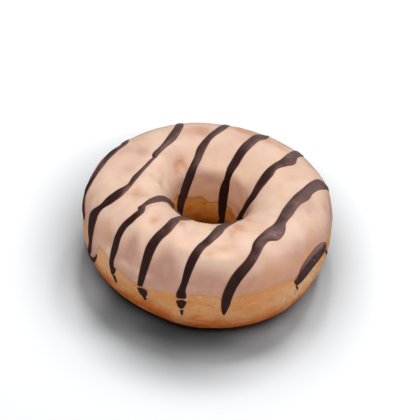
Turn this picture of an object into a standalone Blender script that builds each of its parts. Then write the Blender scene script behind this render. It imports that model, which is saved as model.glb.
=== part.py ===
"""Iced ring doughnut: a fried yeast ring, flat where it rests, uneven all round as dough proves and fries.

Metres, +Z up. The origin is the middle of the doughnut's footprint on the table, and +Y is the back of the doughnut.
The solid is the doughnut's outer form, icing included. It starts as a torus whose points are then placed by the ring's
own section and by how that section swells and shrinks round the ring.
"""

import math

import bpy
import numpy as np

MM = 0.001

# Driving dimensions, in millimetres
RING_RADIUS = 30.0  # from the middle of the hole to the middle of the tube
HALF_WIDTH = 16.0  # of the tube, measured level
CROWN_RISE = 21.0  # top of the tube above its widest line
BASE_DROP = 16.7  # bottom of the tube below its widest line, before the table flattens it
WIDEST_AT = 16.0  # height of the widest line above the table
SECTION_POWER = 2.25  # 2 is an ellipse, and more is squarer
UNDERSIDE_POWER = 2.1  # the underside is rounder than the top
HOLE_WALL_POWER = 0.35  # how much squarer the section is at the hole
BACK_WALL_POWER = 0.55  # and how much more so at the back of the hole, where the wall stands straight
FOOT_POWER = 1.5  # and how much more again at the foot of that wall, which turns under late
RIM_RELIEF = 0.33  # how much wider the tube is towards the hole

# How the section changes round the ring: (waves round the ring, height in mm, direction of the first crest in degrees)
OUTER_WAVES = ((1, 1.65, 40), (2, 0.9, 19), (3, 1.45, 47), (4, 0.4, 38))
HOLE_WAVES = ((1, 0.55, -151), (2, 0.4, 5))
CROWN_WAVES = ((1, 1.55, 180), (2, 0.15, -68))

# Lumps and hollows: (direction round the ring, angle round the tube from the outside over the top, height in mm,
# reach along the ring in mm, reach round the tube in mm)
LUMPS = (
    (131, 130, -1.3, 5.0, 4.5),
    (204, 101, -0.7, 4.0, 4.0),
    (188, 117, 0.5, 4.5, 5.0),
    (226, 86, 0.5, 5.5, 9.0),
    (238, 116, -0.8, 3.0, 4.0),
    (248, 88, 0.45, 4.0, 6.0),
    (259, 98, -0.9, 3.0, 4.5),
    (266, 60, 0.6, 12.0, 3.5),
    (257, 33, -0.5, 4.5, 5.5),
    (222, 52, -0.5, 4.5, 5.5),
    (335, 78, 0.4, 3.5, 8.0),
    (78, 127, -2.2, 21.0, 5.0),
    (80, 148, 0.8, 14.0, 2.8),
    (20, 60, 0.4, 8.0, 6.0),
    (150, 40, 0.5, 8.0, 6.0),
    (100, 20, -0.4, 7.0, 6.0),
    (60, 75, -0.4, 5.0, 5.0),
)

ALONG_RING = 96
ROUND_TUBE = 44


def wave(direction, waves):
    return sum(
        height * np.cos(count * (direction - math.radians(crest)))
        for count, height, crest in waves
    )


def turn_between(a, b):
    """The angle from b to a, from -pi to pi."""
    return (a - b + np.pi) % (2 * np.pi) - np.pi


def outer_form(direction, angle):
    """Points of the doughnut's outside, in mm. direction runs round the ring from +X, angle round the tube from the
    outside (0) over the top (90 degrees) and down the hole (180)."""
    c, s = np.cos(angle), np.sin(angle)
    to_hole = (1 - c) / 2
    back = (1 + np.sin(direction)) / 2
    under = (1 - s) / 2
    power = SECTION_POWER + (UNDERSIDE_POWER - SECTION_POWER) * under
    power = power + to_hole * (HOLE_WALL_POWER + BACK_WALL_POWER * back**2)
    power = power + to_hole * FOOT_POWER * back * under
    reach = (np.abs(c) ** power + np.abs(s) ** power) ** (-1 / power)
    wide = (HALF_WIDTH + wave(direction, OUTER_WAVES)) * (1 + c) / 2
    wide = wide + (HALF_WIDTH + RIM_RELIEF + wave(direction, HOLE_WAVES)) * to_hole
    tall = (CROWN_RISE + wave(direction, CROWN_WAVES)) * (1 + s) / 2
    tall = tall + BASE_DROP * under
    lump = 0.0
    for at, up, height, along, across in LUMPS:
        d = turn_between(direction, math.radians(at)) * RING_RADIUS / along
        e = turn_between(angle, math.radians(up)) * HALF_WIDTH / across
        lump = lump + height * np.exp(-(d * d + e * e))
    radius = RING_RADIUS + wide * reach * c + lump * c
    height = np.maximum(WIDEST_AT + tall * reach * s + lump * s, 0.0)
    return np.stack(
        [radius * np.cos(direction), radius * np.sin(direction), height], axis=-1
    )


for old in list(bpy.data.objects):
    bpy.data.objects.remove(old, do_unlink=True)

collection = bpy.data.collections.new("iced_ring_doughnut")
bpy.context.scene.collection.children.link(collection)

bpy.ops.mesh.primitive_torus_add(
    major_segments=ALONG_RING,
    minor_segments=ROUND_TUBE,
    major_radius=RING_RADIUS * MM,
    minor_radius=HALF_WIDTH * MM,
)
ring = bpy.context.active_object
ring.name = "doughnut_ring"
ring.data.name = "doughnut_ring"

mesh = ring.data
points = np.empty(len(mesh.vertices) * 3, np.float32)
mesh.vertices.foreach_get("co", points)
points = points.reshape(-1, 3).astype(float)
round_ring = np.arctan2(points[:, 1], points[:, 0])
out = np.hypot(points[:, 0], points[:, 1]) - RING_RADIUS * MM
round_tube = np.arctan2(points[:, 2], out)
placed = outer_form(round_ring, round_tube)
# The origin is the middle of the footprint
placed[:, :2] -= (placed[:, :2].min(axis=0) + placed[:, :2].max(axis=0)) / 2
mesh.vertices.foreach_set("co", (placed * MM).astype(np.float32).ravel())
mesh.update()
mesh.shade_smooth()

dough = bpy.data.materials.new("fried_dough")
dough.use_nodes = True
surface = dough.node_tree.nodes["Principled BSDF"]
surface.inputs["Base Color"].default_value = (0.48, 0.21, 0.07, 1.0)
surface.inputs["Roughness"].default_value = 0.6
surface.inputs["Metallic"].default_value = 0.0
mesh.materials.clear()
mesh.materials.append(dough)

for linked in list(ring.users_collection):
    linked.objects.unlink(ring)
collection.objects.link(ring)
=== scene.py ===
"""The looks of the iced ring doughnut: fried dough, a shell of pale icing over it, and stripes of dark chocolate.

The doughnut's outside is one surface, worked out from the ring's own sizes, and everything is laid on it. Lengths here
are in millimetres in the ring's frame until a mesh is made, which is in metres in the frame of the CAD.
"""

import math

import bpy
import numpy as np
from mathutils import Matrix, Vector
from mathutils.bvhtree import BVHTree


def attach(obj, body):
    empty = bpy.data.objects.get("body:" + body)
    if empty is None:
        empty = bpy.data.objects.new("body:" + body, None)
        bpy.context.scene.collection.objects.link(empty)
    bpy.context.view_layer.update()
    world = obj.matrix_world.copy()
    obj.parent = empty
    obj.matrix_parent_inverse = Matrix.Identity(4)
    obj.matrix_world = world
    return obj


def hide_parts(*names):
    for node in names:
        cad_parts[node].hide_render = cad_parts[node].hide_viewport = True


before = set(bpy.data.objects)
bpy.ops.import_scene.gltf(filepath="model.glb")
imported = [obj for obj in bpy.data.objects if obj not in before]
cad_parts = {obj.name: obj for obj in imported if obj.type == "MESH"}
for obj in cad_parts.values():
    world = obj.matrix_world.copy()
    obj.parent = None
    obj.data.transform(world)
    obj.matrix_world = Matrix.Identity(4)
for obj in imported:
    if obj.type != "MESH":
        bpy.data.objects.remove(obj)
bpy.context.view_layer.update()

MM = 0.001

# Strengths of the lights, in watts, and of the sky
OVERHEAD_LIGHT = 3.8
KEY_LIGHT = 1.5
FRONT_LIGHT = 2.4
LEFT_LIGHT = 1.4
RIGHT_LIGHT = 1.25
SHEEN_BEHIND = 1.4
SHEEN_RIGHT = 3.2
ABOVE_FLOOR = 31.0
BEHIND_FLOOR = 46.0
WORLD = 0.10

# ---------------------------------------------------------------------------------------------------------------------
# The doughnut's outside, with the sizes of the CAD
# ---------------------------------------------------------------------------------------------------------------------

RING_RADIUS = 30.0
HALF_WIDTH = 16.0
CROWN_RISE = 21.0
BASE_DROP = 16.7
WIDEST_AT = 16.0
SECTION_POWER = 2.25
UNDERSIDE_POWER = 2.1
HOLE_WALL_POWER = 0.35
BACK_WALL_POWER = 0.55
FOOT_POWER = 1.5
RIM_RELIEF = 0.33
OUTER_WAVES = ((1, 1.65, 40), (2, 0.9, 19), (3, 1.45, 47), (4, 0.4, 38))
HOLE_WAVES = ((1, 0.55, -151), (2, 0.4, 5))
CROWN_WAVES = ((1, 1.55, 180), (2, 0.15, -68))

# (direction round the ring, angle round the tube, height, reach along the ring, reach round the tube)
LUMPS = (
    (131, 130, -1.3, 5.0, 4.5),
    (204, 101, -0.7, 4.0, 4.0),
    (188, 117, 0.5, 4.5, 5.0),
    (226, 86, 0.5, 5.5, 9.0),
    (238, 116, -0.8, 3.0, 4.0),
    (248, 88, 0.45, 4.0, 6.0),
    (259, 98, -0.9, 3.0, 4.5),
    (266, 60, 0.6, 12.0, 3.5),
    (257, 33, -0.5, 4.5, 5.5),
    (222, 52, -0.5, 4.5, 5.5),
    (335, 78, 0.4, 3.5, 8.0),
    (78, 127, -2.2, 21.0, 5.0),
    (80, 148, 0.8, 14.0, 2.8),
    (20, 60, 0.4, 8.0, 6.0),
    (150, 40, 0.5, 8.0, 6.0),
    (100, 20, -0.4, 7.0, 6.0),
    (60, 75, -0.4, 5.0, 5.0),
)

# Finer ones, which only the icing has
FINE_LUMPS = (
    # the fold across the tube at the left
    (203, 54, 0.22, 1.7, 4.0),
    (208, 68, 0.25, 1.7, 4.0),
    (214, 80, 0.25, 1.7, 3.5),
    (207, 52, -0.28, 1.3, 4.0),
    (213, 67, -0.30, 1.3, 4.0),
    (219, 78, -0.30, 1.3, 3.5),
    (224, 88, -0.25, 1.3, 3.0),
    # lumps and hollows beside the hole, from the left to the front
    (213, 100, 0.55, 2.2, 2.4),
    (203, 97, -0.50, 2.6, 2.8),
    (229, 102, -0.45, 1.8, 3.5),
    (235, 86, -0.50, 1.8, 3.5),
    (250, 104, -0.40, 2.5, 2.5),
    (267, 80, -0.45, 1.5, 2.0),
    (286, 97, -0.40, 2.8, 3.2),
    (281, 84, -0.25, 2.2, 2.6),
    # the shoulder of the front, which is a row of soft swellings
    (234, 66, 0.45, 3.0, 4.0),
    (257, 62, 0.50, 4.2, 3.2),
    (277, 57, 0.62, 5.5, 2.0),
    (279, 68, -0.40, 4.5, 2.2),
    (256, 71, -0.25, 3.0, 2.0),
    (227, 44, -0.32, 2.8, 4.5),
    (250, 38, -0.50, 2.8, 4.5),
    (274, 36, -0.35, 4.0, 3.5),
    (217, 34, -0.30, 2.2, 4.5),
    # the pit beside the third stripe, the swelling next to it and a few runs and beads of icing
    (129, 134, -0.85, 3.6, 1.8),
    (142, 137, -0.45, 2.8, 1.6),
    (150, 122, 0.40, 3.0, 3.0),
    (141, 136, 0.32, 0.8, 0.7),
    (137, 138, 0.25, 0.7, 0.6),
    (170, 129, 0.18, 1.3, 0.8),
    (180, 129, 0.22, 1.5, 0.8),
    (190, 127, 0.28, 1.1, 0.8),
    (329, 66, 0.25, 2.0, 6.0),
    (156, 91, -0.25, 4.0, 4.0),
    (180, 90, -0.25, 4.0, 3.5),
    # the groove that runs from the fold towards the front
    (221, 98, -0.40, 1.2, 3.0),
    (232, 91, -0.40, 1.3, 3.4),
    (240, 80, -0.35, 1.4, 3.6),
    # the shoulder in the hole at the back, and the wall that falls away below it
    (98, 143, 0.30, 6.0, 2.0),
    (84, 143, 0.30, 6.0, 2.0),
    (69, 138, 0.30, 6.0, 2.0),
    (52, 140, 0.30, 6.0, 2.0),
    (34, 141, 0.25, 6.0, 2.0),
    (92, 156, -0.40, 8.0, 2.6),
    (66, 154, -0.40, 8.0, 2.6),
    (42, 156, -0.30, 6.0, 2.6),
)


def wave(direction, waves):
    return sum(
        height * np.cos(count * (direction - math.radians(crest)))
        for count, height, crest in waves
    )


def turn_between(a, b):
    return (a - b + np.pi) % (2 * np.pi) - np.pi


FINE_LUMPS = tuple((at, up, 1.35 * high, along, across) for at, up, high, along, across in FINE_LUMPS)
# where the photo's outline lies a little in or out of the CAD's
FINE_LUMPS += (
    (147, 60, -0.60, 9.0, 6.0),
    (181, 44, 0.95, 8.0, 7.0),
    (166, 52, 0.45, 6.0, 6.0),
    (196, 25, 0.45, 6.0, 6.0),
    (226, -14, -0.40, 8.0, 8.0),
    (246, -18, -0.45, 7.0, 8.0),
    (262, -20, 0.95, 7.0, 8.0),
    (18, 42, 0.45, 4.0, 8.0),
    (342, 12, 0.45, 6.0, 7.0),
)


def outer_form(direction, angle, lumps=LUMPS + FINE_LUMPS):
    """Points of the doughnut's outside. direction runs round the ring from +X, angle round the tube from the outside
    (0) over the top (90 degrees) and down the hole (180)."""
    c, s = np.cos(angle), np.sin(angle)
    to_hole = (1 - c) / 2
    back = (1 + np.sin(direction)) / 2
    under = (1 - s) / 2
    power = SECTION_POWER + (UNDERSIDE_POWER - SECTION_POWER) * under
    power = power + to_hole * (HOLE_WALL_POWER + BACK_WALL_POWER * back**2)
    power = power + to_hole * FOOT_POWER * back * under
    reach = (np.abs(c) ** power + np.abs(s) ** power) ** (-1 / power)
    wide = (HALF_WIDTH + wave(direction, OUTER_WAVES)) * (1 + c) / 2
    wide = wide + (HALF_WIDTH + RIM_RELIEF + wave(direction, HOLE_WAVES)) * to_hole
    tall = (CROWN_RISE + wave(direction, CROWN_WAVES)) * (1 + s) / 2
    tall = tall + BASE_DROP * under
    lump = 0.0
    for at, up, height, along, across in lumps:
        d = turn_between(direction, math.radians(at)) * RING_RADIUS / along
        e = turn_between(angle, math.radians(up)) * HALF_WIDTH / across
        lump = lump + height * np.exp(-(d * d + e * e))
    radius = RING_RADIUS + wide * reach * c + lump * c
    height = np.maximum(WIDEST_AT + tall * reach * s + lump * s, 0.0)
    return np.stack(
        [radius * np.cos(direction), radius * np.sin(direction), height], axis=-1
    )


def outward(direction, angle):
    """The outside's normals."""
    step = 0.004
    along = outer_form(direction + step, angle) - outer_form(direction - step, angle)
    around = outer_form(direction, angle + step) - outer_form(direction, angle - step)
    normal = np.cross(along, around)
    size = np.linalg.norm(normal, axis=-1, keepdims=True)
    return normal / np.maximum(size, 1e-9)


# The CAD's origin is the middle of the footprint of its own grid of points
_cad = outer_form(
    *np.meshgrid(
        np.arange(96) * 2 * np.pi / 96, np.arange(44) * 2 * np.pi / 44, indexing="ij"
    ),
    lumps=LUMPS,
).reshape(-1, 3)
MIDDLE = np.array(
    [*((_cad[:, :2].min(axis=0) + _cad[:, :2].max(axis=0)) / 2), 0.0]
)


def row(points):
    """Points of the ring's frame, in mm, in the frame of the CAD, in metres."""
    return (np.asarray(points) - MIDDLE) * MM


# ---------------------------------------------------------------------------------------------------------------------
# Noise that is smooth in space
# ---------------------------------------------------------------------------------------------------------------------


def noise(points, size, seed):
    """Gradient noise from -1 to 1 at points, with features about size mm across."""
    rng = np.random.default_rng(seed)
    order = rng.permutation(256)
    slopes = rng.normal(size=(256, 3))
    slopes /= np.linalg.norm(slopes, axis=1, keepdims=True)
    p = np.asarray(points) / size + 57.3
    cell = np.floor(p).astype(int)
    f = p - cell
    u = f * f * f * (f * (f * 6 - 15) + 10)
    total = np.zeros(p.shape[:-1])
    for corner in range(8):
        k = np.array([corner & 1, (corner >> 1) & 1, (corner >> 2) & 1])
        at = (cell + k) & 255
        index = order[(order[(order[at[..., 0]] + at[..., 1]) & 255] + at[..., 2]) & 255]
        weight = np.where(k == 1, u, 1 - u).prod(axis=-1)
        total += weight * (slopes[index] * (f - k)).sum(axis=-1)
    return np.clip(total * 1.7, -1, 1)


def rough(points, size, seed, octaves=3, fall=0.5):
    return sum(
        fall**i * noise(points, size / 2**i, seed + 31 * i) for i in range(octaves)
    ) / sum(fall**i for i in range(octaves))


def smooth_step(low, high, value):
    t = np.clip((value - low) / (high - low), 0, 1)
    return t * t * (3 - 2 * t)


# ---------------------------------------------------------------------------------------------------------------------
# The camera, and points placed through it
# ---------------------------------------------------------------------------------------------------------------------

ELEVATION = math.radians(40.51)
ROLL = math.radians(-5.4)
DISTANCE = 420.0
PIXELS_PER_MM = 2.69  # at the target
TARGET = np.array([0.0, 0.0, 17.5])
TARGET_PIXEL = (207.13, 221.69)  # of the photo's 420 x 420
FRAME_PIXELS = 420.0

_level, _up = np.array([1.0, 0, 0]), np.array([0, math.sin(ELEVATION), math.cos(ELEVATION)])
BACK = np.array([0, -math.cos(ELEVATION), math.sin(ELEVATION)])
RIGHT = math.cos(ROLL) * _level - math.sin(ROLL) * _up
UP = math.sin(ROLL) * _level + math.cos(ROLL) * _up
EYE = TARGET + BACK * DISTANCE
FOCAL_PIXELS = PIXELS_PER_MM * DISTANCE

camera = bpy.data.cameras.new("camera")
camera.sensor_width = 36.0
camera.lens = FOCAL_PIXELS * 36.0 / FRAME_PIXELS
camera.shift_x = (FRAME_PIXELS / 2 - TARGET_PIXEL[0]) / FRAME_PIXELS
camera.shift_y = (TARGET_PIXEL[1] - FRAME_PIXELS / 2) / FRAME_PIXELS
camera.clip_start = 0.01
camera.clip_end = 20.0
camera_object = bpy.data.objects.new("camera", camera)
_matrix = Matrix((Vector(RIGHT), Vector(UP), Vector(BACK))).transposed().to_4x4()
_matrix.translation = Vector(row(EYE))
camera_object.matrix_world = _matrix
bpy.context.scene.collection.objects.link(camera_object)
bpy.context.scene.camera = camera_object


def sight(x, y):
    """The direction in which pixel (x, y) of the photo looks."""
    d = (
        RIGHT * (x - TARGET_PIXEL[0]) / FOCAL_PIXELS
        - UP * (y - TARGET_PIXEL[1]) / FOCAL_PIXELS
        - BACK
    )
    return d / np.linalg.norm(d)


def grid_tree(points):
    """A search tree over a grid of points that closes both ways."""
    nu, nv = points.shape[:2]
    return BVHTree.FromPolygons(points.reshape(-1, 3).tolist(), ring_faces(nu, nv).tolist())


def ring_faces(nu, nv):
    i, j = np.meshgrid(np.arange(nu), np.arange(nv), indexing="ij")
    i2, j2 = (i + 1) % nu, (j + 1) % nv
    return np.stack(
        [i * nv + j, i2 * nv + j, i2 * nv + j2, i * nv + j2], axis=-1
    ).reshape(-1, 4)


COARSE_U = np.arange(480) * 2 * np.pi / 480
COARSE_V = np.arange(260) * 2 * np.pi / 260
FORM_TREE = grid_tree(outer_form(COARSE_U[:, None], COARSE_V[None, :]))


def seen(tree, x, y):
    """The point that the photo shows at pixel (x, y), or the one nearest the line of sight where that just misses."""
    d = sight(x, y)
    hit = tree.ray_cast(Vector(EYE), Vector(d))
    if hit[0] is not None:
        return np.array(hit[0])
    best = None
    for t in np.arange(DISTANCE - 60, DISTANCE + 60, 1.0):
        near = tree.find_nearest(Vector(EYE + d * t))
        if best is None or near[3] < best[3]:
            best = near
    return np.array(best[0])


def angles_of(point):
    """(direction, angle) of a point that lies on the outside."""
    direction = math.atan2(point[1], point[0]) % (2 * np.pi)
    around = np.linspace(0, 2 * np.pi, 1440, endpoint=False)
    near = outer_form(np.full_like(around, direction), around)
    angle = around[np.argmin(np.linalg.norm(near - point, axis=1))]
    return direction, angle


def edge_curve(stations, hidden, smoothing=2):
    """The angle round the tube at which an edge of the icing runs, for each direction round the ring, from pixels of
    the photo where the edge shows and from (direction, angle) in degrees where it doesn't."""
    known = [angles_of(seen(FORM_TREE, x, y)) for x, y in stations]
    known += [(math.radians(a) % (2 * np.pi), math.radians(b)) for a, b in hidden]
    known.sort()
    directions = np.array([k[0] for k in known])
    angles = np.array([turn_between(k[1], 0.0) for k in known]) % (2 * np.pi)
    if np.ptp(angles) > np.pi:
        angles = turn_between(angles, 0.0)
    fine = np.arange(1440) * 2 * np.pi / 1440
    level = np.interp(fine, directions, angles, period=2 * np.pi)
    for _ in range(smoothing):
        level = (np.roll(level, 1) + 2 * level + np.roll(level, -1)) / 4
    return fine, level


# Where the icing ends on the outside, read along its lower edge from the left of the photo to the right
LOWER_EDGE = (
    (84.9, 222.5), (86.5, 226), (87.5, 236), (88.0, 246), (91.5, 257.8), (93.1, 257.6), (95, 255.5), (96.5, 251),
    (99.2, 246.6), (100.2, 247.7), (103.8, 253.8), (107.6, 258.4), (109.9, 265.5), (111.9, 269.5), (114.5, 270),
    (116.5, 268.8), (120.6, 272.7), (125.7, 277.2), (130.3, 280.8), (133.9, 283.9), (138, 285.2), (142, 286.7),
    (147.1, 290.3), (153.8, 291), (161.4, 292), (169.6, 293), (174, 294.5), (176.5, 298), (183, 299.5),
    (186, 300.5), (188, 298), (189.3, 296.1), (200.8, 295.5), (208.5, 296.8), (216.1, 297.7), (221.2, 299.5),
    (228, 301.5), (232, 300.8), (234, 298.4), (238.4, 296.5), (244.8, 295.5), (252.5, 294.2), (260, 292.2),
    (271.7, 287.5), (279.8, 284.7), (285.2, 282.6), (290.1, 279.9), (295, 277.7), (299, 275), (305, 268.5),
    (311, 261), (317, 254.5), (322, 249.5), (325, 246.5), (327.5, 240.8), (328.6, 235.4),
)
LOWER_EDGE_BEHIND = (
    (356, 19), (4, 15), (12, 9), (18, 3), (22, 1), (27, 7), (36, 12), (44, 10), (52, 12), (58, 4), (63, 8), (74, 13),
    (80, 5), (86, 9), (97, 14), (106, 9), (111, 12), (122, 10), (133, 14), (146, 12), (158, 8), (169, 11), (180, 14),
)
# Where it ends in the hole
HOLE_EDGE = (
    (173.4, 203.8), (177.3, 196.4), (186.4, 198), (193.1, 199.7), (197.2, 197.6), (202.2, 197.6), (206.3, 201.4),
    (211.3, 203.4), (217.9, 203.4), (226.2, 206.3), (231.2, 210.5), (233.7, 215.5), (236.6, 219.6),
)
HOLE_EDGE_BEHIND = (
    (200, 171), (215, 178), (230, 172), (246, 180), (258, 173), (272, 177), (288, 184), (302, 175), (318, 172),
    (334, 181), (348, 176), (4, 186), (20, 189),
)

EDGE_AT, LOW = edge_curve(LOWER_EDGE, LOWER_EDGE_BEHIND)
_, HIGH = edge_curve(HOLE_EDGE, HOLE_EDGE_BEHIND)
_round = 40.0 * np.stack([np.cos(EDGE_AT), np.sin(EDGE_AT), 0 * EDGE_AT], axis=-1)
LOW = LOW + (0.26 * noise(_round, 3.4, 71) + 0.16 * noise(_round, 1.5, 72)) / 17.5
HIGH = HIGH + (0.5 * noise(_round, 6.0, 73) + 0.2 * noise(_round, 2.2, 74)) / 17.5


def low_edge(direction):
    return np.interp(direction % (2 * np.pi), EDGE_AT, LOW, period=2 * np.pi)


def high_edge(direction):
    return np.interp(direction % (2 * np.pi), EDGE_AT, HIGH, period=2 * np.pi)


# ---------------------------------------------------------------------------------------------------------------------
# Meshes
# ---------------------------------------------------------------------------------------------------------------------


def make(name, points, faces, attributes=None):
    """A smooth mesh object from points in the ring's frame. attributes holds a number for each point, by name."""
    mesh = bpy.data.meshes.new(name)
    points = row(points).reshape(-1, 3)
    mesh.vertices.add(len(points))
    mesh.vertices.foreach_set("co", points.astype(np.float32).ravel())
    if isinstance(faces, np.ndarray):
        counts = np.full(len(faces), faces.shape[1])
        loops = faces.ravel()
    else:
        counts = np.array([len(f) for f in faces])
        loops = np.concatenate([np.asarray(f) for f in faces])
    mesh.loops.add(len(loops))
    mesh.loops.foreach_set("vertex_index", loops.astype(np.int32))
    mesh.polygons.add(len(counts))
    starts = np.concatenate([[0], np.cumsum(counts)[:-1]])
    mesh.polygons.foreach_set("loop_start", starts.astype(np.int32))
    mesh.update(calc_edges=True)
    mesh.validate()
    mesh.shade_smooth()
    for key, values in (attributes or {}).items():
        layer = mesh.attributes.new(key, "FLOAT", "POINT")
        layer.data.foreach_set("value", np.asarray(values, np.float32).ravel())
    thing = bpy.data.objects.new(name, mesh)
    bpy.context.scene.collection.objects.link(thing)
    return thing


TUBE_MM = 17.5  # mm along the tube's outside for each radian, near enough for edges


def blob(direction, angle, spots):
    """The sum of soft spots, each (direction, angle, strength, reach along the ring, reach round the tube)."""
    total = np.zeros(np.broadcast(direction, angle).shape)
    for at, up, strength, along, across in spots:
        d = turn_between(direction, math.radians(at)) * 38.0 / along
        e = turn_between(angle, math.radians(up)) * TUBE_MM / across
        total = total + strength * np.exp(-(d * d + e * e))
    return total


# --- dough -----------------------------------------------------------------------------------------------------------

DOUGH_SINK = 0.20  # how far the bare dough lies under the icing's outside
UNDER_ICING = 0.95  # and how far where the icing covers it

NU = 720
_turn = 2 * np.pi
dough_v = np.concatenate(
    [
        np.radians(np.linspace(-82, 30, 66, endpoint=False)),
        np.radians(np.linspace(30, 150, 22, endpoint=False)),
        np.radians(np.linspace(150, 235, 30, endpoint=False)),
        np.radians(np.linspace(235, 278, 20, endpoint=False)),
    ]
)
U, V = np.meshgrid(np.arange(NU) * _turn / NU, dough_v, indexing="ij")
inside_low = turn_between(V, low_edge(U)) * TUBE_MM
inside_high = turn_between(high_edge(U), V) * TUBE_MM
covered = np.minimum(inside_low, inside_high)
covered = np.where((V > np.radians(-100)) & (V < np.radians(278)), covered, -5)
base = outer_form(U, V)
normal = outward(U, V)
sink = DOUGH_SINK + (UNDER_ICING - DOUGH_SINK) * smooth_step(0.4, 1.8, covered)
relief = 0.10 * rough(base, 5.0, 11, 3) + 0.05 * rough(base * np.array([1, 1, 1.8]), 1.8, 12, 2)
low_down = smooth_step(12.5, 9.0, base[..., 2])
relief = relief + 0.09 * low_down * noise(base * np.array([0.55, 0.55, 2.4]), 2.2, 13)
scuff = blob(U, V, ((328, 6, 1.0, 11.0, 6.0), (316, -2, 0.6, 9.0, 4.0), (338, -6, 0.6, 8.0, 5.0)))
_slant = base @ np.array([[0.9, 0.2, 0.1], [0.1, 0.8, -0.9], [-0.5, 0.6, 1.6]])
relief = relief + scuff * (0.20 * noise(_slant, 1.5, 14) + 0.75 * np.minimum(noise(base, 5.0, 15), 0.0))
line = np.exp(-(((base[..., 2] - 12.6 - 0.8 * noise(base, 9.0, 5)) / 1.1) ** 2))
in_hole = smooth_step(math.radians(95), math.radians(140), V)
line = line * (1 - in_hole) * smooth_step(-0.1, 0.45, noise(base, 14.0, 6))
pore = noise(base * np.array([1, 1, 1.5]), 1.7, 21)
pores = -0.30 * smooth_step(0.55, 0.85, pore) * (1 - in_hole)
pit = noise(base, 1.0, 22)
pores = pores * 0.4 + line * (-0.24 * smooth_step(0.3, 0.7, pit) - 0.03)
bare = smooth_step(0.3, -0.6, covered)
relief = (relief + pores) * bare
foot = smooth_step(0.0, 1.6, base[..., 2])
points = base + normal * (-sink * (0.15 + 0.85 * foot) + relief * foot)[..., None]
points[..., 2] = np.maximum(points[..., 2], 0.0)
dough = make(
    "dough",
    points,
    ring_faces(NU, len(dough_v)),
    {"covered": covered, "pits": -pores * bare, "in_hole": in_hole, "scuff": scuff,
     "pale": blob(U, V, ((215, 2, 0.6, 8.0, 7.0), (297, 12, 0.2, 6.0, 5.0), (320, 8, 0.6, 9.0, 4.0)))},
)
DOUGH_POINTS = points

# --- icing -----------------------------------------------------------------------------------------------------------

ICING_U = 560
EDGE_CURL = 0.75  # over how many mm the icing rounds down to the dough at its edges

near_rows = np.array([0.0, 0.05, 0.12, 0.22, 0.36, 0.55, 0.78, 1.05])  # mm from the edge
u = np.arange(ICING_U) * _turn / ICING_U
lo, hi = low_edge(u), high_edge(u)
near = near_rows / TUBE_MM
middle_rows = np.linspace(0, 1, 122)[1:-1]
first = lo[:, None] + near[None, :]
last = hi[:, None] - near[None, ::-1]
between = first[:, -1:] + (last[:, :1] - first[:, -1:]) * middle_rows[None, :]
V = np.concatenate([first, between, last], axis=1)
U = np.broadcast_to(u[:, None], V.shape)
base = outer_form(U, V)
normal = outward(U, V)
from_edge = np.minimum(V - lo[:, None], hi[:, None] - V) * TUBE_MM
curl = 1 - np.sqrt(
    np.clip(1 - (1 - np.clip(from_edge / EDGE_CURL, 0, 1)) ** 2, 0, 1)
)
bead = 0.09 * np.exp(-(((from_edge - 1.3) / 0.9) ** 2))
swell = 0.20 * rough(base, 9.0, 41, 2) + 0.11 * noise(base, 5.0, 47) + 0.05 * noise(base, 3.0, 43)
lift = -0.32 * curl + (bead + swell) * smooth_step(0.0, 1.5, from_edge)
outside = base + normal * lift[..., None]
under_v = np.linspace(0, 1, 18)
V_under = hi[:, None] - 0.03 + (lo - hi + 0.06)[:, None] * under_v[None, :]
U_under = np.broadcast_to(u[:, None], V_under.shape)
underside = outer_form(U_under, V_under) - 1.5 * outward(U_under, V_under)
shell = np.concatenate([outside, underside], axis=1)
thin = np.concatenate([from_edge, np.zeros_like(V_under)], axis=1)

# warm spots: thinner icing where the dough shows through, and painted shade in the hollows, the groove and the pit
# beside the third stripe
WARM_AND_SHADE_SPOTS = (
    (66, 70, 0.9, 9.0, 2.2),
    (75, 72, 0.7, 5.0, 2.0),
    (49, 68, 0.5, 5.0, 2.2),
    (127, 133, 0.9, 3.2, 1.6),
    (134, 135, 0.9, 3.4, 1.9),
    (124, 145, 0.35, 2.6, 4.0),
    (276, 104, 0.7, 2.6, 2.2),

    (180, 129, 0.6, 8.0, 1.3),
    (203, 96, 0.7, 3.0, 2.4),
    (229, 101, 0.35, 1.4, 3.0),
    (236, 85, 0.4, 1.6, 3.4),
    (295, 104, 0.7, 3.4, 3.0),
    (288, 96, 0.5, 2.0, 3.2),
    (301, 96, 0.4, 2.4, 2.0),
    (279, 72, 0.6, 3.6, 1.8),
    (273, 63, 0.5, 2.2, 1.8),
    (287, 78, 0.3, 2.0, 3.4),
    (234, 88, 0.35, 1.2, 3.4),
    (250, 104, 0.8, 3.2, 2.4),
    (310, 118, 0.6, 3.0, 3.0),
    (298, 108, 0.5, 3.0, 3.0),
    (192, 41, 0.7, 2.0, 3.5),
    (217, 31, 0.4, 2.0, 4.0),
    (29, 72, 0.5, 2.8, 0.8),
    (222, 98, 0.4, 1.2, 2.8),
    (232, 91, 0.4, 1.2, 3.0),
    (296, 30, 0.6, 8.0, 3.4),
    (303, 46, 0.5, 5.0, 3.5),
    (105, 89, 0.5, 5.0, 4.0),
    (212, 41, 0.6, 3.0, 4.0),
    (141, 137, 0.9, 3.0, 1.8),
    (317, 34, 0.6, 9.0, 3.2),
    (334, 42, 0.5, 8.0, 5.0),
)
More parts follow.
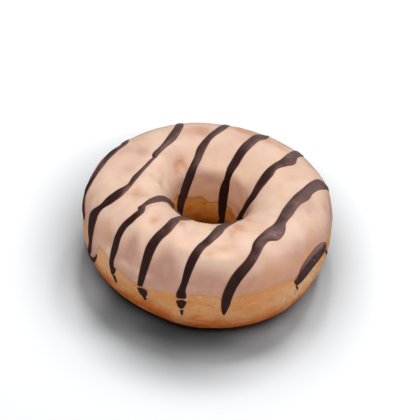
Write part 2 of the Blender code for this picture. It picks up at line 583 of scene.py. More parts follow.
# pink spots: a pinker tint, and painted shade on the lower front and in hollows
PINK_AND_SHADE_SPOTS = (
    (232, 42, 0.95, 3.2, 5.5),
    (252, 38, 0.95, 3.2, 5.0),
    (245, 29, 0.2, 4.0, 3.0),
    (296, 28, 1.0, 8.0, 3.4),
    (350, 76, 0.6, 8.0, 6.0),
    (122, 92, 0.35, 6.0, 6.0),
    (100, 92, 0.4, 7.0, 4.0),
    (237, 36, 0.4, 2.6, 3.5),
    (254, 27, 0.35, 5.0, 4.0),
    (68, 88, 0.4, 7.0, 4.0),
    (217, 33, 0.3, 3.0, 5.0),
    (272, 36, 0.8, 7.0, 4.0),
    (310, 44, 0.25, 12.0, 6.0),
    (321, 41, 0.4, 9.0, 5.0),
    (156, 91, 0.6, 6.0, 5.0),
    (180, 90, 0.5, 6.0, 4.0),
    (100, 95, 0.4, 6.0, 5.0),
)
# paler cream spots: paler icing, painted highlights on the ridges of the front's shoulder and beside the hole, and
# small painted glints in the pit beside the third stripe
CREAM_AND_HIGHLIGHT_SPOTS = (
    (234, 66, 0.8, 4.0, 4.0),
    (257, 62, 0.9, 5.0, 3.5),
    (277, 56, 0.9, 8.0, 2.6),
    (238, 44, 0.5, 1.6, 5.0),
    (262, 38, 0.5, 1.8, 5.0),
    (220, 24, 0.6, 2.0, 2.0),
    (232, 22, 0.7, 3.0, 1.6),
    (243, 22, 0.6, 3.0, 1.4),
    (213, 100, 0.6, 2.2, 2.2),
    (184, 116, 0.7, 8.0, 4.0),
    (120, 118, 0.5, 5.0, 4.0),
    (329, 66, 0.5, 3.0, 6.0),
    (265, 110, 0.5, 6.0, 4.0),
    (178, 134, 0.9, 5.0, 2.6),
    (350, 45, 0.5, 6.0, 6.0),
    (190, 60, 0.85, 8.0, 6.0),
    (133, 122, 0.6, 3.0, 2.4),
    (141, 136, 1.4, 0.55, 0.35),
    (137, 138, 1.2, 0.45, 0.3),
    (144, 135, 1.0, 0.4, 0.3),
    (212, 21, 0.4, 5.0, 4.0),
    (46, 80, 0.6, 7.0, 8.0),
    (353, 125, 0.6, 8.0, 5.0),
)
YELLOW_SPOTS = (
    (94, 143, 0.5, 6.0, 2.4),
    (81, 141, 0.8, 7.0, 2.4),
    (66, 137, 0.6, 6.0, 2.4),
    (52, 138, 0.8, 6.0, 2.6),
    (38, 142, 0.6, 5.0, 2.6),
    (44, 130, 0.4, 4.0, 3.0),
    (178, 137, 0.6, 6.0, 3.0),
)
all_u = np.concatenate([U, U_under], axis=1)
all_v = np.concatenate([V, V_under], axis=1)
uneven = 1 + 0.9 * rough(shell, 4.5, 64, 3)
warm_and_shade = np.clip(blob(all_u, all_v, WARM_AND_SHADE_SPOTS) * uneven, 0, 1.2) + 0.35 * np.clip(rough(shell, 11.0, 61, 3) - 0.1, 0, 1)
pink_and_shade = blob(all_u, all_v, PINK_AND_SHADE_SPOTS) * (1 + 0.5 * rough(shell, 6.0, 65, 3)) + 0.7 * np.clip(rough(shell, 13.0, 62, 3) - 0.05, 0, 1)
cream_and_highlight = blob(all_u, all_v, CREAM_AND_HIGHLIGHT_SPOTS) * (1 + 0.5 * rough(shell, 6.0, 66, 3)) + 0.7 * np.clip(rough(shell, 12.0, 63, 3) - 0.05, 0, 1)
yellow = blob(all_u, all_v, YELLOW_SPOTS)
down_hole = smooth_step(math.radians(150), hi[:, None] + 0.02, all_v)
# below the shoulder at the back of the hole the icing is thin and the dough shows through; the browner tone there is
# also painted shade of the wall that falls away
wall_from = np.interp(
    np.degrees(all_u) % 360, [0, 20, 29, 45, 62, 77, 88, 98, 115, 150, 180], [160, 152, 147, 148, 145, 145, 149, 149, 152, 160, 170]
)
wall_from = np.radians(wall_from + 1.2 * noise(40 * np.stack([np.cos(all_u), np.sin(all_u), 0 * all_u], axis=-1), 4.0, 81))
on_wall = smooth_step(wall_from - 0.04, wall_from + 0.07, all_v) * smooth_step(185.0, 165.0, np.degrees(all_u) % 360)
icing = make(
    "icing",
    shell,
    ring_faces(ICING_U, shell.shape[1]),
    {"warm_and_shade": warm_and_shade, "pink_and_shade": pink_and_shade, "cream_and_highlight": cream_and_highlight, "yellow": yellow, "down_hole": down_hole, "wall": on_wall, "edge": thin},
)

# --- the surface that the chocolate lies on --------------------------------------------------------------------------

skin_u = np.arange(720) * _turn / 720
skin_v = np.arange(400) * _turn / 400
U, V = np.meshgrid(skin_u, skin_v, indexing="ij")
base = outer_form(U, V)
inside_low = turn_between(V, low_edge(U)) * TUBE_MM
inside_high = turn_between(high_edge(U), V) * TUBE_MM
from_edge = np.minimum(inside_low, inside_high)
bead = 0.09 * np.exp(-(((from_edge - 1.3) / 0.9) ** 2))
swell = 0.20 * rough(base, 9.0, 41, 2) + 0.11 * noise(base, 5.0, 47) + 0.05 * noise(base, 3.0, 43)
iced = smooth_step(-0.15, 0.55, from_edge)
lift = -DOUGH_SINK * (1 - iced) + iced * (bead + swell) * smooth_step(0.0, 1.5, from_edge)
SKIN_TREE = grid_tree(base + outward(U, V) * lift[..., None])

# --- chocolate -------------------------------------------------------------------------------------------------------


def on(direction, angle, width):
    """A station that the photo doesn't show: its place on the doughnut, in degrees, and the stripe's width in mm."""
    return ("on", direction, angle, width)


# Each station is a pair of points on the stripe's two edges in the photo, (x, y, x, y), from the back to the front. Where
# a stripe's far edge is out of sight, the station is the near one and the width in mm, (x, y, width).
STRIPES = {
    "chocolate_1": (
        on(113, 6, 2.4), on(121, 14, 3.0), on(130, 24, 3.4), on(139, 35, 3.4),
        (127.4, 143.4, 3.4), (118.0, 150.6, 3.8), (108.0, 160.4, 4.0), (99.5, 171.3, 4.0), (92.0, 183.0, 4.0),
        (85.9, 195.3, 3.8), (84.9, 207.1, 3.2), (85.2, 215.0, 2.4), (85.0, 221.0, 1.6),
    ),
    "chocolate_2": (
        on(110, 2, 2.6), on(111, 12, 3.4), on(111, 30, 3.6), on(112, 48, 3.6),
        (183.6, 125.2, 177.0, 123.4), (181.3, 130.5, 174.8, 126.7), (175.6, 139.4, 169.4, 134.2),
        (164.5, 148.7, 161.1, 145.3), (158.8, 154.4, 154.4, 151.6),
        (156.4, 157.4, 152.2, 155.2), (154.4, 158.9, 152.6, 157.5), (152.2, 161.3, 150.2, 159.6), (145.4, 168.9, 143.1, 166.8),
        (136.5, 179.5, 132.9, 176.6), (130.0, 187.5, 127.2, 184.6), (119.8, 197.8, 115.1, 191.5),
        (111.7, 203.4, 107.1, 197.6), (103.3, 208.3, 100.4, 204.7), (97.9, 215.8, 91.2, 211.6),
        (96.1, 221.9, 88.9, 220.4), (93.4, 233.3, 88.5, 233.1), (91.9, 243.3, 89.4, 243.1),
        (91.5, 251.0, 88.7, 251.4), (91.6, 254.8, 88.8, 256.2), (92.8, 257.2, 90.6, 260.4),
        (94.4, 257.4, 94.2, 262.4), (95.8, 256.0, 96.4, 258.8), (96.3, 253.9, 97.2, 255.6),
    ),
    "chocolate_3_back": (
        on(84, 2, 2.6), on(84, 12, 3.2), on(84, 30, 3.4), on(84, 50, 3.0),
        (227.3, 127.9, 224.5, 124.9), (220.2, 132.6, 217.4, 127.9), (211.3, 139.6, 207.3, 136.1),
        (204.6, 151.2, 197.7, 147.5), (200.8, 160.0, 194.2, 157.4), (197.1, 167.4, 190.8, 164.4),
        (192.7, 180.3, 185.1, 177.5), (188.1, 193.1, 180.5, 191.2), (183.6, 206.3, 177.0, 204.6),
        (182.9, 210.4, 2.7), (182.4, 214.2, 2.6),
    ),
    "chocolate_3_front": (
        (181.4, 215.8, 0.8), (178.8, 214.2, 1.1), (176.6, 212.4, 1.4), (174.6, 210.3, 1.8),
        (172.2, 208.0, 174.6, 206.4), (167.3, 202.6, 169.4, 199.5), (162.6, 201.6, 163.3, 196.0),
        (157.9, 202.1, 156.5, 196.1), (148.8, 204.4, 147.0, 200.7), (145.6, 206.4, 142.4, 204.4),
        (145.0, 209.4, 138.2, 207.4), (143.0, 213.2, 138.0, 210.4), (134.1, 221.1, 131.0, 216.0), (126.2, 228.4, 121.6, 224.6),
        (121.0, 237.7, 115.3, 235.7), (117.3, 251.0, 111.5, 249.2), (113.9, 261.0, 109.6, 260.6),
        (114.0, 266.6, 110.2, 267.0), (116.0, 269.0, 111.0, 271.0), (115.4, 271.6, 112.0, 273.6),
        (114.4, 274.2, 112.8, 275.2),
    ),
    "chocolate_4_back": (
        on(63, 3, 2.6), on(63, 12, 3.0), on(63, 26, 3.0), on(63, 40, 2.2),
        (266.8, 138.9, 266.9, 136.0), (259.4, 140.8, 257.5, 134.6), (251.2, 147.5, 245.6, 141.5),
        (242.8, 157.6, 236.0, 152.9), (235.9, 168.7, 228.6, 165.4), (229.8, 180.7, 224.3, 178.7),
        (229.0, 188.2, 220.7, 186.7), (227.4, 199.5, 218.6, 199.1), (225.2, 213.4, 218.5, 213.0),
        (224.6, 219.5, 219.6, 219.5), on(69, 209, 2.4), on(69, 216, 1.6),
    ),
    "chocolate_4_front": (
        (191.2, 220.4, 190.8, 219.8), (188.6, 220.4, 188.4, 219.0),
        (185.2, 220.4, 185.2, 218.2), (180.6, 220.4, 179.8, 216.8), (177.4, 223.6, 172.0, 218.6),
        (170.6, 231.6, 165.0, 225.0), (160.9, 240.6, 154.2, 235.0), (154.7, 250.8, 146.0, 247.2),
        (149.9, 263.3, 142.0, 261.3), (145.5, 276.6, 138.9, 274.9), (143.3, 283.4, 137.8, 282.2),
        (142.6, 286.4, 137.4, 284.8),
    ),
    "chocolate_5_back": (
        on(43, 4, 2.6), on(43, 12, 3.0), on(43, 22, 2.8), on(42.5, 34, 2.0),
        (302.0, 156.6, 302.6, 154.3), (298.0, 157.6, 297.2, 151.8), (294.5, 164.4, 288.0, 153.6),
        (286.5, 166.2, 281.0, 159.4), (277.2, 169.1, 273.6, 163.9), (272.1, 176.5, 265.2, 170.9),
        (263.3, 186.8, 256.9, 182.9), (255.0, 198.4, 250.5, 195.2), (248.2, 207.0, 244.0, 205.6),
        (244.4, 213.6, 239.8, 212.6), (242.4, 217.6, 237.6, 216.6), (240.8, 220.6, 236.4, 219.8), on(34, 190, 1.6),
    ),
    "chocolate_5_front": (
        (238.4, 221.4, 1.8), (235.4, 222.6, 2.6), (231.6, 224.7, 3.2), (227.6, 227.2, 3.3),
        (224.2, 230.0, 217.2, 226.2), (222.2, 233.2, 215.7, 227.7),
        (211.3, 243.2, 206.7, 237.5), (205.3, 247.9, 200.4, 242.9), (198.1, 258.6, 190.7, 254.4),
        (192.3, 270.9, 185.0, 267.7), (187.6, 283.6, 181.5, 281.8), (185.4, 290.6, 178.8, 288.5),
        (186.2, 294.6, 176.6, 292.6), (186.4, 298.4, 176.4, 298.0),
    ),
    "chocolate_6": (
        on(23, -2, 2.6), on(23, 6, 3.2), on(22.5, 14, 3.2), on(21.5, 22, 2.4),
        (327.4, 189.9, 326.2, 185.5), (318.9, 190.1, 318.0, 179.3), (313.0, 193.6, 309.5, 182.7),
        (308.9, 199.4, 301.6, 189.4), (299.5, 205.5, 293.5, 196.2), (292.3, 215.4, 284.6, 206.8),
        (286.0, 223.4, 278.4, 217.6), (285.4, 229.6, 274.0, 224.0), (283.0, 235.6, 268.4, 228.0),
        (277.4, 240.4, 263.2, 232.2), (268.6, 241.4, 257.6, 237.4), (263.4, 247.2, 253.2, 243.4),
        (258.2, 257.4, 250.8, 251.6), (252.4, 266.6, 244.0, 261.8), (246.2, 274.4, 236.6, 269.6),
        (240.0, 282.4, 229.8, 279.0), (235.4, 290.4, 225.0, 288.4), (232.3, 297.4, 222.2, 296.2),
        (230.0, 304.6, 221.3, 304.0), (227.0, 310.6, 221.6, 310.4), (224.4, 315.2, 223.0, 315.0),
    ),
    "chocolate_7": (
        (326.6, 244.4, 324.4, 240.9), (325.4, 249.6, 321.4, 242.6), (323.0, 254.0, 315.5, 247.3),
        (314.9, 264.9, 307.2, 258.0), (307.8, 274.0, 300.9, 268.1), (301.8, 281.2, 297.0, 277.0),
        (299.2, 283.8, 294.4, 281.6), (297.2, 286.4, 294.9, 284.4),
    ),
    # What broke off or ran on over the bare dough
    "chocolate_3_tail": (
        (114.6, 274.4, 112.9, 275.0), (115.8, 277.6, 114.0, 278.4), (116.6, 280.4, 115.2, 281.0),
        (117.4, 282.8, 116.5, 283.2),
    ),
    "chocolate_4_tail": (
        (142.4, 287.9, 137.0, 286.6), (145.4, 289.6, 138.2, 290.2), (147.4, 291.8, 139.8, 293.4),
        (147.0, 294.8, 141.8, 295.4), (146.0, 297.4, 143.6, 297.8), (146.2, 300.6, 145.0, 300.6),
    ),
    "chocolate_5_stub": (
        (186.4, 300.0, 176.4, 299.6), (186.6, 302.4, 176.6, 302.4), (184.8, 306.0, 177.8, 306.0),
        (183.6, 308.8, 179.2, 308.8),
    ),
    "chocolate_5_tail": (
        (183.6, 309.6, 180.0, 309.6), (183.0, 312.4, 180.6, 312.6), (182.6, 315.4, 181.8, 315.4),
    ),
    "chocolate_7_tail": (
        (297.6, 285.4, 295.0, 285.8), (298.0, 288.0, 296.4, 288.4), (297.9, 290.2, 297.2, 290.4),
    ),
    "chocolate_7_crumb": (
        (327.0, 249.6, 325.8, 248.6), (327.0, 252.0, 324.8, 251.2), (326.6, 254.4, 325.8, 254.2),
    ),
}


def through(points, count):
    """count points, evenly spaced along a smooth curve through points (Catmull-Rom, centripetal)."""
    p = np.asarray(points, float)
    p = np.concatenate([2 * p[:1] - p[1:2], p, 2 * p[-1:] - p[-2:-1]])
    gap = np.maximum(np.linalg.norm(np.diff(p[:, :3], axis=0), axis=1), 1e-3) ** 0.5
    t = np.concatenate([[0], np.cumsum(gap)])
    dense = []
    for k in range(1, len(p) - 2):
        x = np.linspace(t[k], t[k + 1], 24, endpoint=False)[:, None]
        a = [
            (t[k + i + 1 - 1] - x) / (t[k + i] - t[k + i - 1]) * p[k + i - 1]
            + (x - t[k + i - 1]) / (t[k + i] - t[k + i - 1]) * p[k + i]
            for i in (0, 1, 2)
        ]
        b = [
            (t[k + i + 1] - x) / (t[k + i + 1] - t[k + i - 1]) * a[i]
            + (x - t[k + i - 1]) / (t[k + i + 1] - t[k + i - 1]) * a[i + 1]
            for i in (0, 1)
        ]
        dense.append((t[k + 1] - x) / (t[k + 1] - t[k]) * b[0] + (x - t[k]) / (t[k + 1] - t[k]) * b[1])
    dense = np.concatenate([*dense, p[-2:-1]])
    far = np.concatenate([[0], np.cumsum(np.linalg.norm(np.diff(dense[:, :3], axis=0), axis=1))])
    at = np.linspace(0, far[-1], count)
    return np.stack([np.interp(at, far, dense[:, i]) for i in range(dense.shape[1])], axis=1)


def settle(tree, points):
    """Points moved to the nearest place on the surface, and the normals there."""
    found = [tree.find_nearest(Vector(p)) for p in points]
    return np.array([f[0] for f in found]), np.array([f[1] for f in found])


def edges_of(stations):
    """The stripe's two edges, station by station."""
    centres, pairs = [], []
    for s in stations:
        if s[0] == "on":
            centres.append(outer_form(math.radians(s[1]), math.radians(s[2])))
            pairs.append(None)
        elif len(s) == 3:
            centres.append(seen(SKIN_TREE, s[0], s[1]))
            pairs.append(None)
        else:
            a, b = seen(SKIN_TREE, s[0], s[1]), seen(SKIN_TREE, s[2], s[3])
            centres.append((a + b) / 2)
            pairs.append((a, b))
    centres = np.array(centres)
    travel = np.gradient(centres, axis=0)
    _, normals = settle(SKIN_TREE, centres)
    side = np.cross(travel, normals)
    side /= np.maximum(np.linalg.norm(side, axis=1, keepdims=True), 1e-9)
    signs = [np.sign(np.dot(p[0] - p[1], side[i])) for i, p in enumerate(pairs) if p]
    sign = np.sign(sum(signs)) if signs and sum(signs) else -1.0
    a, b = [], []
    for i, s in enumerate(stations):
        if pairs[i]:
            a.append(pairs[i][0])
            b.append(pairs[i][1])
        elif len(s) == 3:
            a.append(centres[i])
            b.append(centres[i] + side[i] * s[2])
        else:
            a.append(centres[i] + sign * side[i] * s[3] / 2)
            b.append(centres[i] - sign * side[i] * s[3] / 2)
    return np.array(a), np.array(b)


ACROSS = 17
STEP = 0.28


BLUNT = {"chocolate_3_front": (False, True), "chocolate_4_front": (False, True), "chocolate_5_front": (False, True),
         "chocolate_5_stub": (True, False), "chocolate_4_tail": (True, False), "chocolate_3_tail": (True, False),
         "chocolate_5_tail": (True, False)}
# creases right across a stripe and pits in it: (pixel), reach in mm, depth in mm, whether it goes right across
MARKS = {
    "chocolate_2": (((154, 157.5), 0.35, 0.22, True),),
    "chocolate_3_front": (((143.2, 208.5), 0.35, 0.16, True),),
    "chocolate_5_back": (((281, 163), 0.4, 0.12, True),),
    "chocolate_6": (((248, 252), 0.3, 0.16, True), ((289, 211), 0.25, 0.08, True)),
    "chocolate_7": (((313.1, 258.5), 0.50, 0.46, False),),
}
# painted highlights, speckled like bloom, where the chocolate is made lighter: pixel, reach in mm, how much
PAINTED_HIGHLIGHTS = (
    (287, 156, 2.4, 1.0), (300, 189, 2.2, 0.4), (293, 204, 2.6, 0.8), (284, 216, 2.0, 0.5), (273, 233, 3.2, 1.1),
    (101, 168, 6.0, 0.8), (163, 232, 3.0, 0.45), (246, 148, 3.4, 0.4), (317, 252, 3.0, 0.4),
)
# and painted shade: where it is made darkest, besides in the hole, which is painted dark too
PAINTED_SHADE_SPOTS = ((203, 243, 2.6, 0.6), (239, 280, 4.0, 0.6), (186, 276, 5.0, 0.4), (118, 234, 3.0, 0.3))
SPREAD = 0.10  # mm that each edge lies out past the station, for the thin rim


def stripe(name, stations, seed, height=0.46):
    """A ribbon of set chocolate, flat on top, that lies on the doughnut between two edges."""
    a, b = edges_of(stations)
    out = (a - b) / np.linalg.norm(a - b, axis=1, keepdims=True)
    a, b = a + SPREAD * out, b - SPREAD * out
    full = np.array([0.45 if t[0] == "on" else 1.0 for t in stations])
    if stations[0][0] == "on":
        full[np.argmax(full)] = 0.65
    full = full[:, None]
    both = through(np.concatenate([(a + b) / 2, a, b, full], axis=1), 2000)
    length = np.linalg.norm(np.diff(both[:, :3], axis=0), axis=1).sum()
    count = max(8, int(length / STEP))
    both = both[np.linspace(0, 1999, count).round().astype(int)]
    a, b, full = both[:, 3:6], both[:, 6:9], both[:, 9]
    width = np.linalg.norm(a - b, axis=1)
    along = np.linspace(0, length, count)
    # both ends are round
    start, end = 0.5 * width[min(3, count - 1)], 0.5 * width[-min(4, count)]
    cap = np.ones(count)
    blunt = BLUNT.get(name, (False, False))
    for distance, size, square in ((along, start, blunt[0]), (length - along, end, blunt[1])):
        size = 0.35 if square else max(size, 0.3)
        cap *= np.sqrt(np.clip(1 - np.clip(1 - distance / size, 0, 1) ** 2, 0.0004, 1))
    x = np.sin(np.linspace(-1, 1, ACROSS) * np.pi / 2)  # closer together towards the edges
    middle = (a + b) / 2
    half = (a - b) / 2 * cap[:, None]
    flat = middle[:, None, :] + half[:, None, :] * x[None, :, None]
    place, normals = settle(SKIN_TREE, flat.reshape(-1, 3))
    place = place.reshape(count, ACROSS, 3)
    normals = normals.reshape(count, ACROSS, 3)
    smooth = normals.copy()
    for _ in range(3):
        smooth[1:-1] = (smooth[:-2] + 2 * smooth[1:-1] + smooth[2:]) / 4
        smooth[:, 1:-1] = (smooth[:, :-2] + 2 * smooth[:, 1:-1] + smooth[:, 2:]) / 4
    smooth /= np.linalg.norm(smooth, axis=2, keepdims=True)
    dome = (1 - np.abs(x) ** 3.4) ** 0.6
    thick = height * np.clip(width / 3.2, 0.4, 1.1) ** 0.5 * np.sqrt(cap) * full
    thick = thick * (1 + 0.15 * noise(middle, 6.0, seed))
    rise = thick[:, None] * dome[None, :]
    rise = rise + 0.025 * noise(place, 1.0, seed + 3) * dome[None, :] * cap[:, None]
    rise = rise + 0.05 * noise(place, 3.0, seed + 4) * dome[None, :] * cap[:, None]
    for (px, py), wide, deep, across_all in MARKS.get(name, ()):
        spot = seen(SKIN_TREE, px, py)
        if across_all:
            far = np.linalg.norm(middle - spot, axis=1)[:, None] * np.ones(ACROSS)
        else:
            far = np.linalg.norm(place - spot, axis=2)
        rise = rise - deep * np.exp(-((far / wide) ** 2))
    rise = np.maximum(rise, 0.02)
    top = place + smooth * rise[..., None]
    low_x = np.linspace(1, -1, 7)[1:-1]
    pick = np.interp(low_x, x, np.arange(ACROSS))
    low = np.stack(
        [place[:, int(round(k)), :] - 0.35 * smooth[:, int(round(k)), :] for k in pick],
        axis=1,
    )
    first_low = place[:, -1:] - 0.30 * smooth[:, -1:]
    last_low = place[:, :1] - 0.30 * smooth[:, :1]
    loop = np.concatenate([top, first_low, low, last_low], axis=1)
    n = loop.shape[1]
    i, j = np.meshgrid(np.arange(count - 1), np.arange(n), indexing="ij")
    faces = np.stack(
        [i * n + j, i * n + (j + 1) % n, (i + 1) * n + (j + 1) % n, (i + 1) * n + j], axis=-1
    ).reshape(-1, 4)
    points = loop.reshape(-1, 3)
    points = np.concatenate([points, loop[:1].mean(axis=1), loop[-1:].mean(axis=1)])
    c0, c1 = len(points) - 2, len(points) - 1
    fans = [(c0, (k + 1) % n, k) for k in range(n)]
    fans += [(c1, (count - 1) * n + k, (count - 1) * n + (k + 1) % n) for k in range(n)]
    faces = [tuple(f) for f in faces.tolist()] + fans
    # the volume tells whether the faces look out
    tri = []
    for f in faces:
        tri += [(f[0], f[k], f[k + 1]) for k in range(1, len(f) - 1)]
    tri = points[np.array(tri)] - points.mean(axis=0)
    if np.linalg.det(tri).sum() < 0:
        faces = [tuple(reversed(f)) for f in faces]
    film = np.concatenate([1 - dome, np.ones(n - ACROSS)])
    film = np.concatenate([np.tile(film, count), [1, 1]])
    from_middle = np.hypot(points[:, 0], points[:, 1])
    # painted shade: the chocolate is darker in the hole and at the spots listed above
    painted_shade = smooth_step(23.0, 17.0, from_middle) * smooth_step(34.0, 27.0, points[:, 2])
    for px, py, wide, much in PAINTED_SHADE_SPOTS:
        painted_shade += much * np.exp(-((np.linalg.norm(points - seen(SKIN_TREE, px, py), axis=1) / wide) ** 2))
    painted_shade = np.minimum(painted_shade, 1)
    # painted highlights at the places listed above
    bloom_and_highlight = np.zeros(len(points))
    for px, py, wide, much in PAINTED_HIGHLIGHTS:
        bloom_and_highlight += much * np.exp(-((np.linalg.norm(points - seen(SKIN_TREE, px, py), axis=1) / wide) ** 2))
    return make(name, points, faces, {"film": film * (1 - 0.8 * painted_shade), "painted_shade": painted_shade, "painted_highlight": bloom_and_highlight})


chocolate = [
    stripe(name, stations, 100 + 7 * i, 0.34 if "tail" in name or "crumb" in name else 0.46)
    for i, (name, stations) in enumerate(STRIPES.items())
]

# --- crumbs of icing on the bare dough -------------------------------------------------------------------------------

crumb_points, crumb_faces = [], []
_rng = np.random.default_rng(9)
for px, py, size in (
    (185.6, 300.4, 0.55), (187.2, 298.9, 0.40), (200.8, 297.8, 0.50), (198.2, 297.2, 0.30), (213.0, 299.8, 0.28),
    (147.4, 297.2, 0.45), (148.6, 299.2, 0.28), (118.6, 272.4, 0.30), (243.5, 298.8, 0.30), (265.0, 293.6, 0.26),
):
    spot = seen(SKIN_TREE, px, py)
    facing = np.array(SKIN_TREE.find_nearest(Vector(spot))[1])
    flat = np.cross(facing, [0.3, 0.2, 1.0])
    flat /= np.linalg.norm(flat)
    other = np.cross(facing, flat)
    rings, turns = 5, 10
    first = len(crumb_points)
    for i in range(rings):
        up = (i + 0.5) / rings * np.pi
        for j in range(turns):
            round_ = j / turns * 2 * np.pi
            reach = size * (1 + 0.25 * _rng.normal())
            crumb_points.append(
                spot
                + reach * math.sin(up) * (math.cos(round_) * flat + 0.7 * math.sin(round_) * other)
                + 0.45 * reach * math.cos(up) * facing
            )
    for i in range(rings - 1):
        for j in range(turns):
            k = (j + 1) % turns
            crumb_faces.append((first + i * turns + j, first + (i + 1) * turns + j,
                                first + (i + 1) * turns + k, first + i * turns + k))
    crumb_faces.append(tuple(first + j for j in range(turns)))
    crumb_faces.append(tuple(first + (rings - 1) * turns + j for j in reversed(range(turns))))
crumbs = make(
    "icing_crumbs", np.array(crumb_points), crumb_faces, {"edge": np.full(len(crumb_points), 3.0), "cream_and_highlight": np.ones(len(crumb_points))}
)

# ---------------------------------------------------------------------------------------------------------------------
# Materials
# ---------------------------------------------------------------------------------------------------------------------


def srgb(r, g, b):
    """A colour given as it looks on a screen, 0 to 255, as the shader's numbers."""
    out = []
    for c in (r, g, b):
        c /= 255
        out.append(c / 12.92 if c <= 0.04045 else ((c + 0.055) / 1.055) ** 2.4)
    return (*out, 1.0)


class Nodes:
    """A small hand for building a material."""

    def __init__(self, name):
        self.material = bpy.data.materials.new(name)
        self.material.use_nodes = True
        self.tree = self.material.node_tree
        self.shader = self.tree.nodes["Principled BSDF"]

    def add(self, kind, settings=None, **inputs):
        node = self.tree.nodes.new(kind)
        for key, value in (settings or {}).items():
            setattr(node, key, value)
        for key, value in inputs.items():
            self.set(node, key.replace("_", " "), value)
        return node

    def set(self, node, key, value):
        socket = node.inputs[int(key)] if key.isdigit() else node.inputs[key]
        if isinstance(value, bpy.types.NodeSocket):
            self.tree.links.new(value, socket)
        else:
            socket.default_value = value

    def number(self, operation, a, b=0.0, c=0.0):
        node = self.add("ShaderNodeMath", {"operation": operation})
        for i, value in enumerate((a, b, c)):
            if isinstance(value, bpy.types.NodeSocket):
                self.tree.links.new(value, node.inputs[i])
            else:
                node.inputs[i].default_value = value
        return node.outputs[0]

    def ramp(self, value, low, high, to_low=0.0, to_high=1.0):
        node = self.add("ShaderNodeMapRange", {"interpolation_type": "SMOOTHSTEP"})
        self.set(node, "Value", value)
        node.inputs["From Min"].default_value = low
        node.inputs["From Max"].default_value = high
        node.inputs["To Min"].default_value = to_low
        node.inputs["To Max"].default_value = to_high
        return node.outputs["Result"]

    def mix(self, factor, a, b, blend="MIX"):
        node = self.add("ShaderNodeMix", {"data_type": "RGBA", "blend_type": blend})
        for i, value in ((0, factor), (6, a), (7, b)):
            if isinstance(value, bpy.types.NodeSocket):
                self.tree.links.new(value, node.inputs[i])
            else:
                node.inputs[i].default_value = value
        return node.outputs[2]

    def attribute(self, name):
        return self.add("ShaderNodeAttribute", {"attribute_name": name}).outputs["Fac"]

    def noise(self, scale, detail=3.0, roughness=0.5, stretch=(1, 1, 1), lacunarity=2.0):
        where = self.add("ShaderNodeTexCoord").outputs["Object"]
        if stretch != (1, 1, 1):
            mapping = self.add("ShaderNodeMapping")
            self.tree.links.new(where, mapping.inputs["Vector"])
            mapping.inputs["Scale"].default_value = stretch
            where = mapping.outputs["Vector"]
        node = self.add("ShaderNodeTexNoise")
        self.tree.links.new(where, node.inputs["Vector"])
        node.inputs["Scale"].default_value = scale
        node.inputs["Detail"].default_value = detail
        node.inputs["Roughness"].default_value = roughness
        node.inputs["Lacunarity"].default_value = lacunarity
        return node.outputs["Fac"]

    def height(self):
        where = self.add("ShaderNodeTexCoord").outputs["Object"]
        split = self.add("ShaderNodeSeparateXYZ")
        self.tree.links.new(where, split.inputs[0])
        return split.outputs["Z"]

    def bump(self, height, distance, strength=1.0, under=None):
        node = self.add("ShaderNodeBump")
        self.tree.links.new(height, node.inputs["Height"])
        node.inputs["Distance"].default_value = distance
        node.inputs["Strength"].default_value = strength
        if under is not None:
            self.tree.links.new(under, node.inputs["Normal"])
        return node.outputs["Normal"]

    def link(self, socket, key):
        self.tree.links.new(socket, self.shader.inputs[key])

    def value(self, key, value):
        self.shader.inputs[key].default_value = value


# --- icing: set sugar icing, milky, so light goes a little way in; thinner and browner where it ran down and ended, with painted shade lower down and in its hollows, and painted highlights on its ridges
n = Nodes("icing")
patches = n.noise(120.0, 3.0, 0.55)
tone = n.mix(n.ramp(patches, 0.35, 0.7), (0.80, 0.56, 0.43, 1), (0.76, 0.51, 0.39, 1))
# darker and pinker lower down: partly thinner icing, partly painted shade of the lower sides
tone = n.mix(n.ramp(n.height(), 0.0345, 0.0245, 0.0, 0.80), tone, (0.525, 0.264, 0.190, 1))
# paler cream: paler icing and painted highlights
tone = n.mix(n.number("MULTIPLY", n.ramp(n.attribute("cream_and_highlight"), 0.0, 1.0), 0.85), tone, (0.84, 0.605, 0.46, 1))
# darker pink spots: pinker icing and painted shade
tone = n.mix(n.number("MULTIPLY", n.ramp(n.attribute("pink_and_shade"), 0.0, 1.0), 0.75), tone, (0.48, 0.245, 0.185, 1))
# warmer, darker spots: thin icing and painted shade in the hollows
tone = n.mix(n.number("MULTIPLY", n.ramp(n.attribute("warm_and_shade"), 0.0, 1.0), 0.8), tone, (0.64, 0.325, 0.185, 1))
tone = n.mix(n.number("MULTIPLY", n.ramp(n.attribute("yellow"), 0.0, 1.0), 0.6), tone, (0.80, 0.57, 0.37, 1))
# browner wall below the shoulder: thin icing and painted shade
tone = n.mix(n.number("MULTIPLY", n.attribute("wall"), 0.8), tone, (0.86, 0.50, 0.34, 1))
tone = n.mix(n.ramp(n.attribute("down_hole"), 0.0, 1.0, 0.0, 0.85), tone, (0.84, 0.43, 0.22, 1))
tone = n.mix(n.ramp(n.attribute("edge"), 1.3, 0.0, 0.0, 0.8), tone, (0.70, 0.34, 0.17, 1))
# milky and clearer patches of a few mm, and finer ones
milky = n.noise(170.0, 4.0, 0.55)
tone = n.mix(n.ramp(milky, 0.50, 0.68, 0.0, 0.26), tone, (0.66, 0.390, 0.275, 1))
tone = n.mix(n.ramp(milky, 0.48, 0.34, 0.0, 0.10), tone, (0.86, 0.63, 0.49, 1))
n.link(tone, "Base Color")
n.link(n.ramp(n.noise(260.0, 2.0), 0.3, 0.7, 0.30, 0.44), "Roughness")
n.value("IOR", 1.47)
n.value("Specular IOR Level", 0.42)
n.value("Subsurface Weight", 0.25)
n.value("Subsurface Radius", (1.0, 0.55, 0.35))
n.value("Subsurface Scale", 0.0022)
fine = n.bump(n.noise(1500.0, 3.0, 0.55), 0.00003, 0.5)
n.link(n.bump(n.noise(300.0, 2.5, 0.5), 0.00022, 0.7, fine), "Normal")
ICING = n.material

